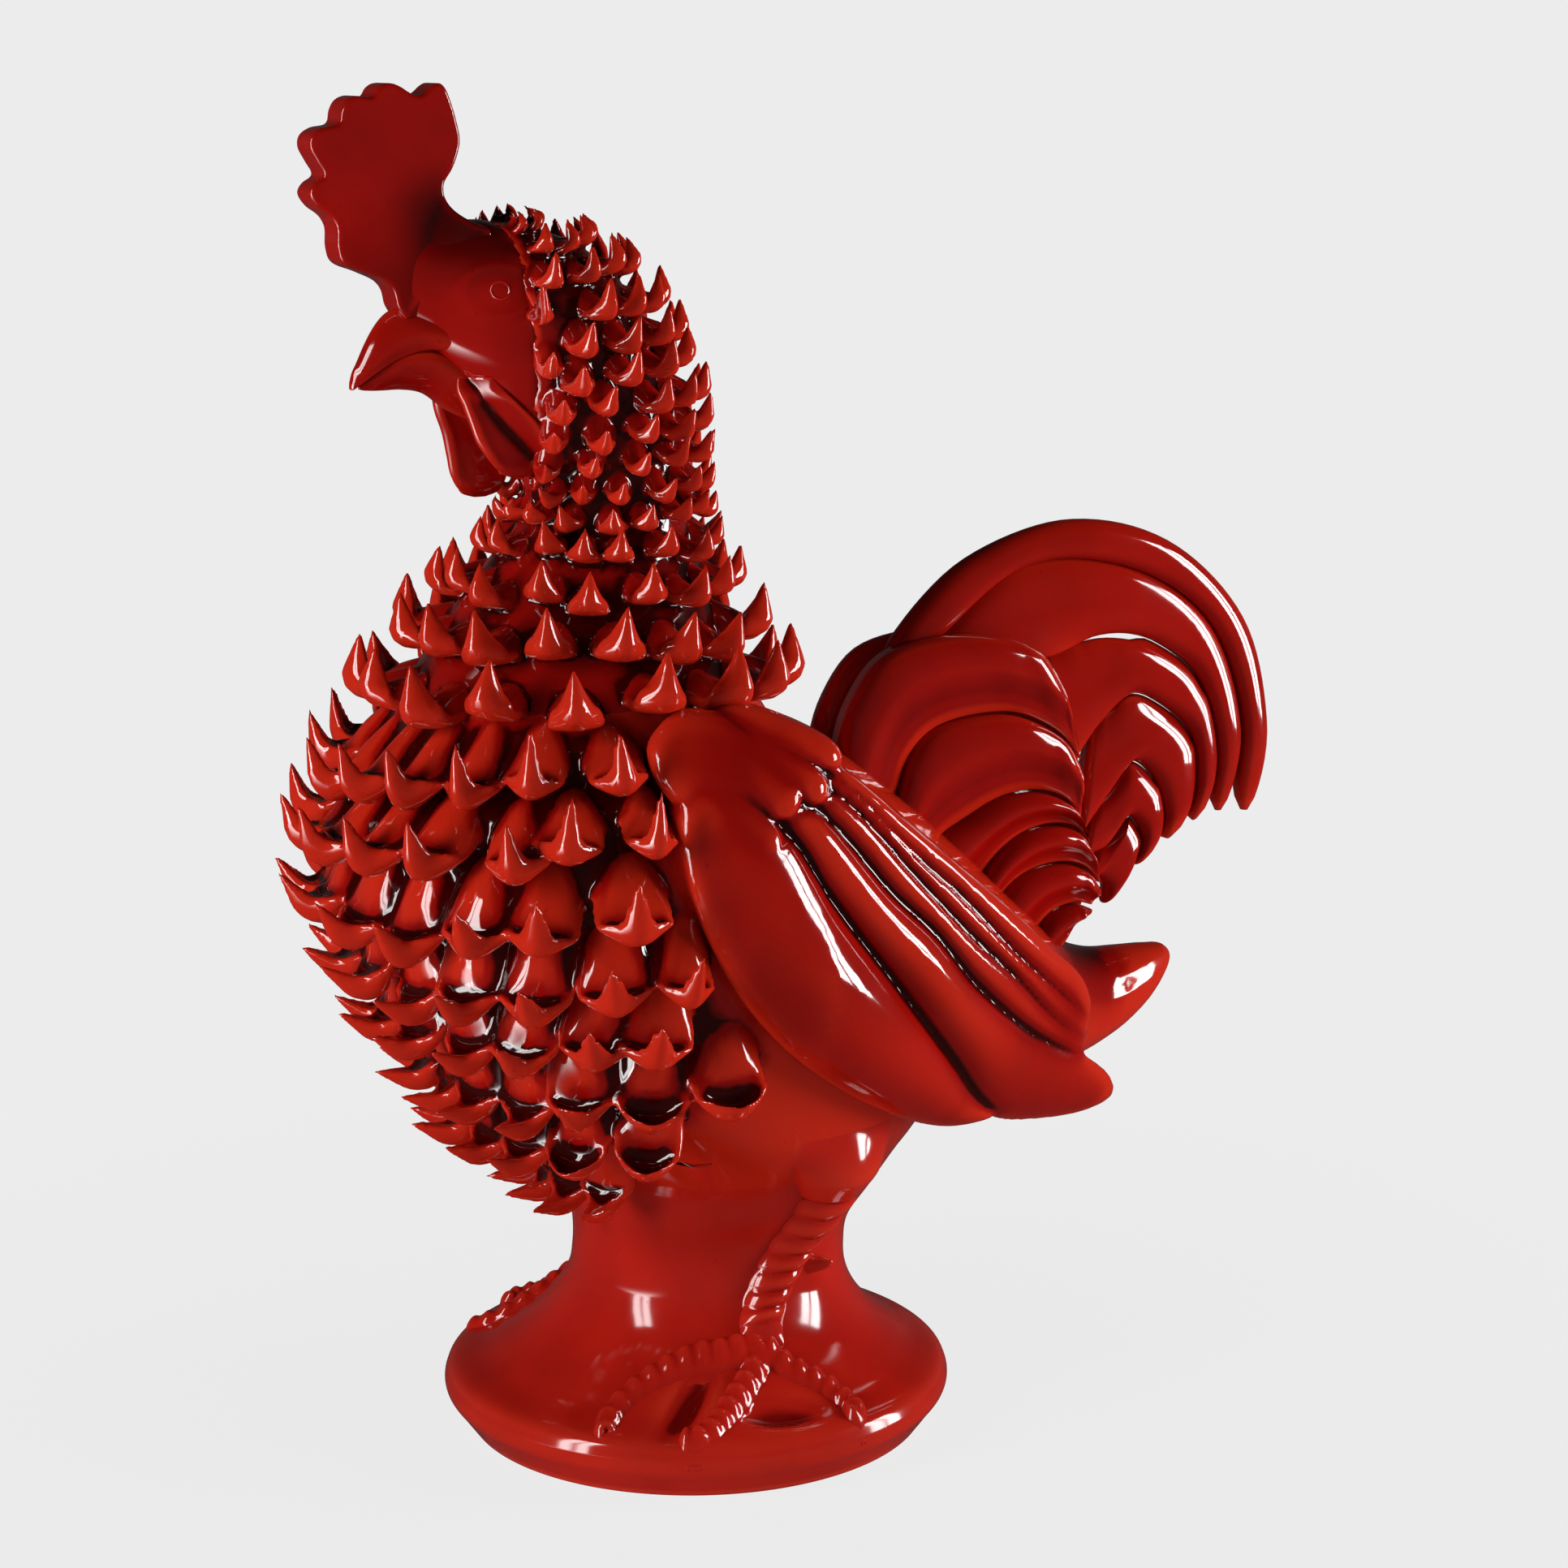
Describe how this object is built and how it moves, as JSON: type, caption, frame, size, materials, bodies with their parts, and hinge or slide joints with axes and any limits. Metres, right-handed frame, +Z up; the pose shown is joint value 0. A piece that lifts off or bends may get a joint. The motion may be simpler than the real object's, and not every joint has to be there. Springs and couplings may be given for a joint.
{
  "type": "ceramic rooster ornament",
  "caption": "Free-standing glazed ceramic rooster with a coat of curled feathers, a pierced fan of sickle tail feathers, folded wings and a flared round pedestal.",
  "frame": {"origin": "centre of the pedestal's flat foot, on the surface it stands on", "axes": "+Z up, -X the way the bird looks, -Y the bird's left side"},
  "size_m": [0.3575, 0.1972, 0.4311],
  "materials": {
    "red_glaze": "high gloss deep red glaze, darker where it pools",
    "pedestal_glaze": "gloss red glaze, a little lighter over the plain thrown surface"
  },
  "bodies": {
    "root": {"body_shell": "red_glaze", "comb": "red_glaze", "head_shell": "red_glaze", "left_eye": "red_glaze", "left_foot": "pedestal_glaze", "left_leg": "pedestal_glaze", "left_spur": "pedestal_glaze", "left_tail_covert_1": "red_glaze", "left_tail_covert_2": "red_glaze", "left_tail_covert_3": "red_glaze", "left_tail_covert_4": "red_glaze", "left_tail_covert_5": "red_glaze", "left_tail_covert_6": "red_glaze", "left_wattle": "red_glaze", "left_wing": "red_glaze", "lower_beak": "red_glaze", "neck_shell": "red_glaze", "pedestal_base": "pedestal_glaze", "right_eye": "red_glaze", "right_foot": "pedestal_glaze", "right_leg": "pedestal_glaze", "right_spur": "pedestal_glaze", "right_tail_covert_1": "red_glaze", "right_tail_covert_2": "red_glaze", "right_tail_covert_3": "red_glaze", "right_tail_covert_4": "red_glaze", "right_tail_covert_5": "red_glaze", "right_tail_covert_6": "red_glaze", "right_wattle": "red_glaze", "right_wing": "red_glaze", "sickle_feather_1": "red_glaze", "sickle_feather_2": "red_glaze", "sickle_feather_3": "red_glaze", "sickle_feather_4": "red_glaze", "sickle_feather_5": "red_glaze", "sickle_feather_6": "red_glaze", "tail_core": "red_glaze", "upper_beak": "red_glaze"}
  },
  "joints": []
}
